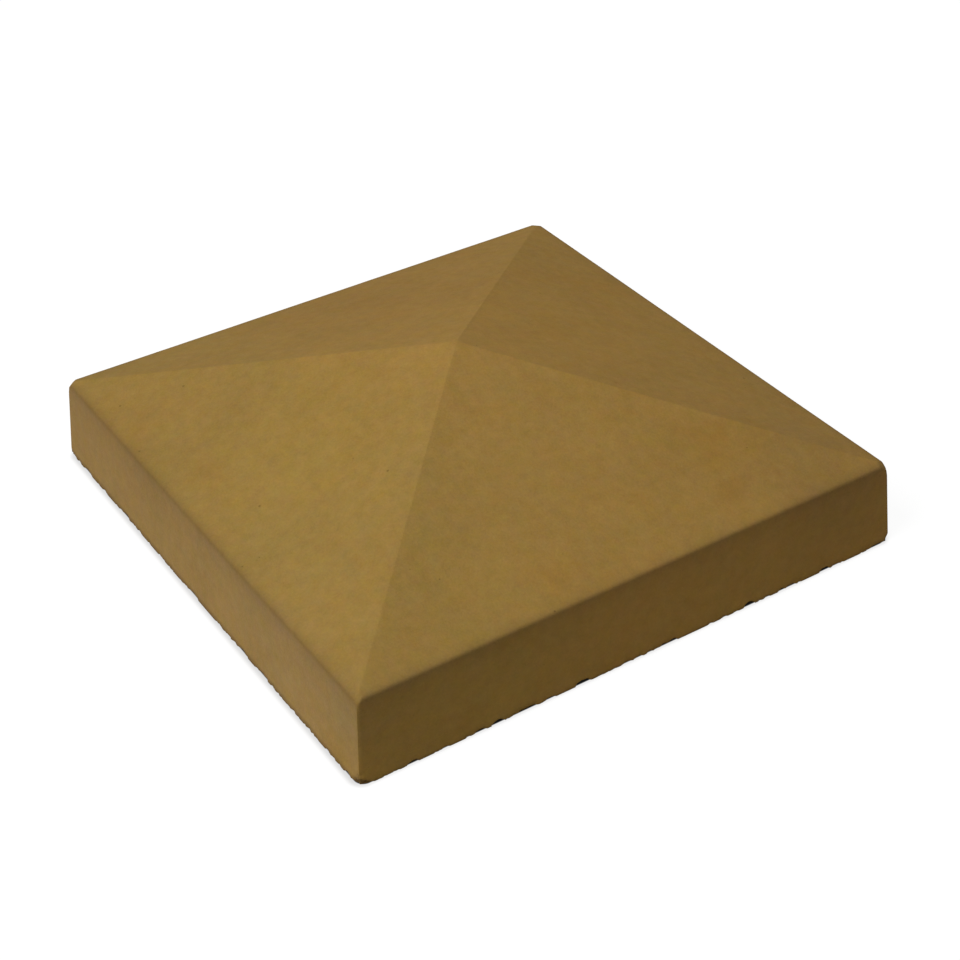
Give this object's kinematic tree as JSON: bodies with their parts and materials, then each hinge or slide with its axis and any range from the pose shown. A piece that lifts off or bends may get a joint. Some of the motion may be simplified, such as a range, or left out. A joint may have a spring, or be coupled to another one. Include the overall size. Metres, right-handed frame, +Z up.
{
  "type": "pier cap",
  "caption": "Square cast concrete cap with leaning sides and slopes rising to a central point, laid on top of a brick pier or gatepost to shed rain.",
  "frame": {"origin": "middle of the flat bedding face, on the surface that the cap rests on", "axes": "+Z up through the point where the slopes meet, with the sides facing along X and Y"},
  "size_m": [0.38, 0.38, 0.1169],
  "materials": {
    "buff_concrete": "matte fine cast concrete, sandy buff, faintly mottled, with small air holes"
  },
  "bodies": {
    "root": {"pier_cap": "buff_concrete"}
  },
  "joints": []
}
